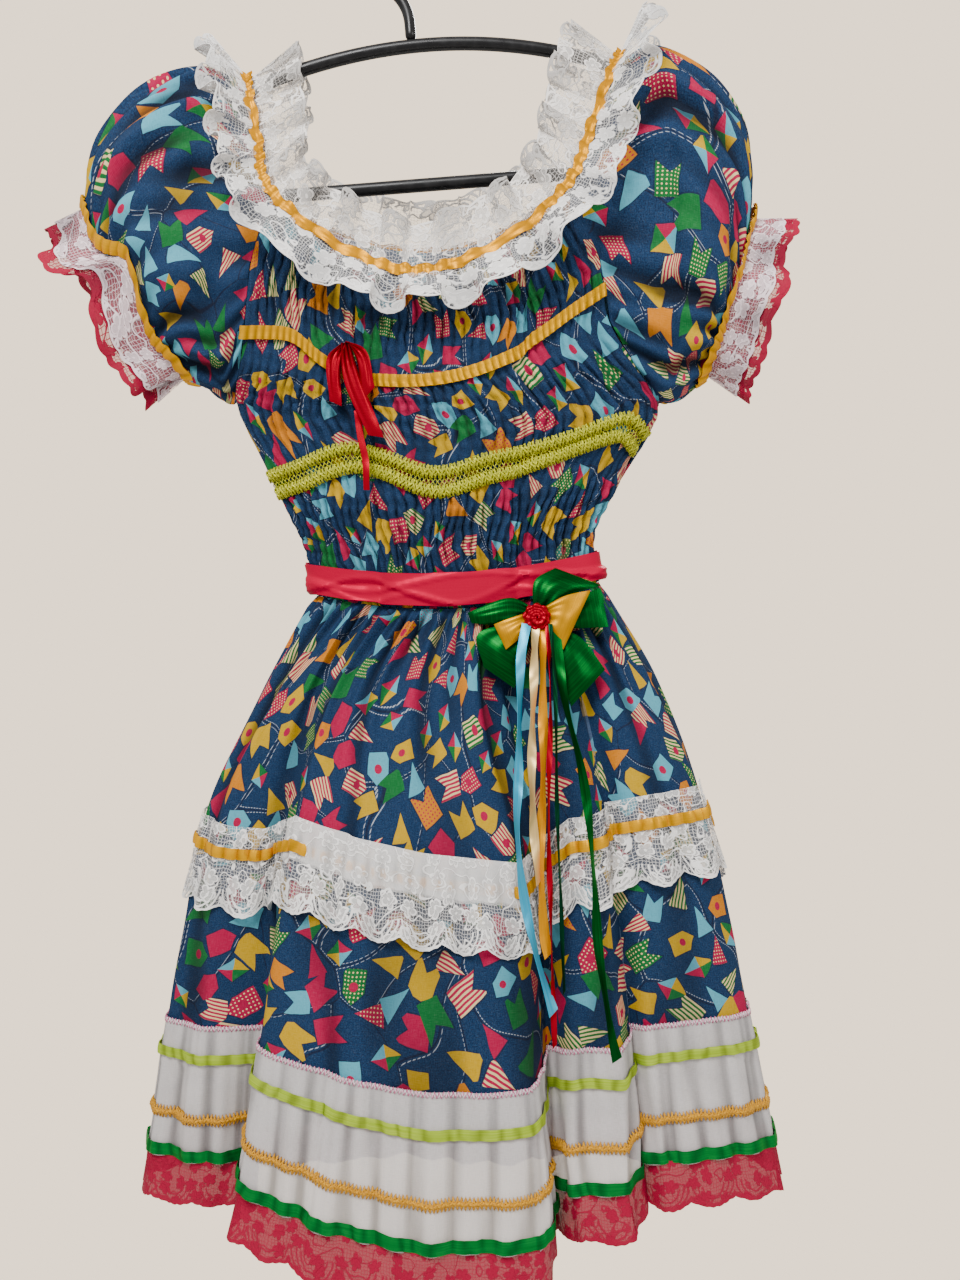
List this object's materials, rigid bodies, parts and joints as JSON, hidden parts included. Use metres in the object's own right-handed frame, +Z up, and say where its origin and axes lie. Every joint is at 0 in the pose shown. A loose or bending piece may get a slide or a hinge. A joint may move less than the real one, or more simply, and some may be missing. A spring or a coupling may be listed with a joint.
{
  "type": "festa junina dress on a tubular hanger",
  "caption": "Hanging festa junina dress: shirred bodice, puff sleeves, lace frills, belt with bow and streamers, flared skirt with trimmed flounce.",
  "frame": {"origin": "inside top of the hanger's hook, where a rail carries it", "axes": "+Z up, the dress's front faces -Y, +X to the right as seen from the front"},
  "size_m": [0.6156, 0.1562, 1.0332],
  "materials": {
    "hanger_plastic": "glossy moulded black tube",
    "printed_cotton": "plain woven cotton with a denim-blue patchwork print of small pennants",
    "white_lace": "machine lace, net ground with scalloped edge",
    "red_lace": "machine lace, net ground with scalloped edge",
    "gold_satin": "satin ribbon",
    "crimson_satin": "satin ribbon, creased",
    "red_satin": "satin ribbon",
    "green_satin": "satin ribbon",
    "dark_green_satin": "narrow satin ribbon",
    "cream_satin": "satin ribbon",
    "silver_blue_satin": "satin ribbon",
    "lime_gold_braid": "openwork metallic crochet braid",
    "lime_satin": "satin ribbon",
    "gold_gimp": "looped gimp braid",
    "emerald_satin": "satin ribbon",
    "white_organza": "sheer white organza"
  },
  "bodies": {
    "root": {"hanger_frame": "hanger_plastic", "hanger_hook": "hanger_plastic", "bodice_front": "printed_cotton", "bodice_back": "printed_cotton", "sleeve_left": "printed_cotton", "sleeve_right": "printed_cotton", "skirt_front": "printed_cotton", "skirt_back": "printed_cotton", "neck_frill_upper": "white_lace", "neck_frill_lower": "white_lace", "skirt_lace_front": "white_lace", "skirt_lace_back": "white_lace", "cuff_lace_left": "white_lace", "cuff_lace_right": "white_lace", "cuff_red_lace_left": "red_lace", "cuff_red_lace_right": "red_lace", "hem_lace_front": "red_lace", "hem_lace_back": "red_lace", "neck_ribbon": "gold_satin", "chest_ribbon": "gold_satin", "skirt_ribbon_front": "gold_satin", "skirt_ribbon_back": "gold_satin", "cuff_ribbon_left": "gold_satin", "cuff_ribbon_right": "gold_satin", "gold_bow": "gold_satin", "streamer_gold": "gold_satin", "belt": "crimson_satin", "chest_bow": "red_satin", "chest_bow_tail": "red_satin", "rosette": "red_satin", "streamer_red": "red_satin", "green_bow": "green_satin", "streamer_green": "green_satin", "streamer_dark": "dark_green_satin", "streamer_cream": "cream_satin", "streamer_blue": "silver_blue_satin", "lime_braid": "lime_gold_braid", "lime_ribbon_front": "lime_satin", "lime_ribbon_back": "lime_satin", "gold_braid_front": "gold_gimp", "gold_braid_back": "gold_gimp", "emerald_ribbon_front": "emerald_satin", "emerald_ribbon_back": "emerald_satin", "flounce_front": "white_organza", "flounce_back": "white_organza"}
  },
  "joints": []
}
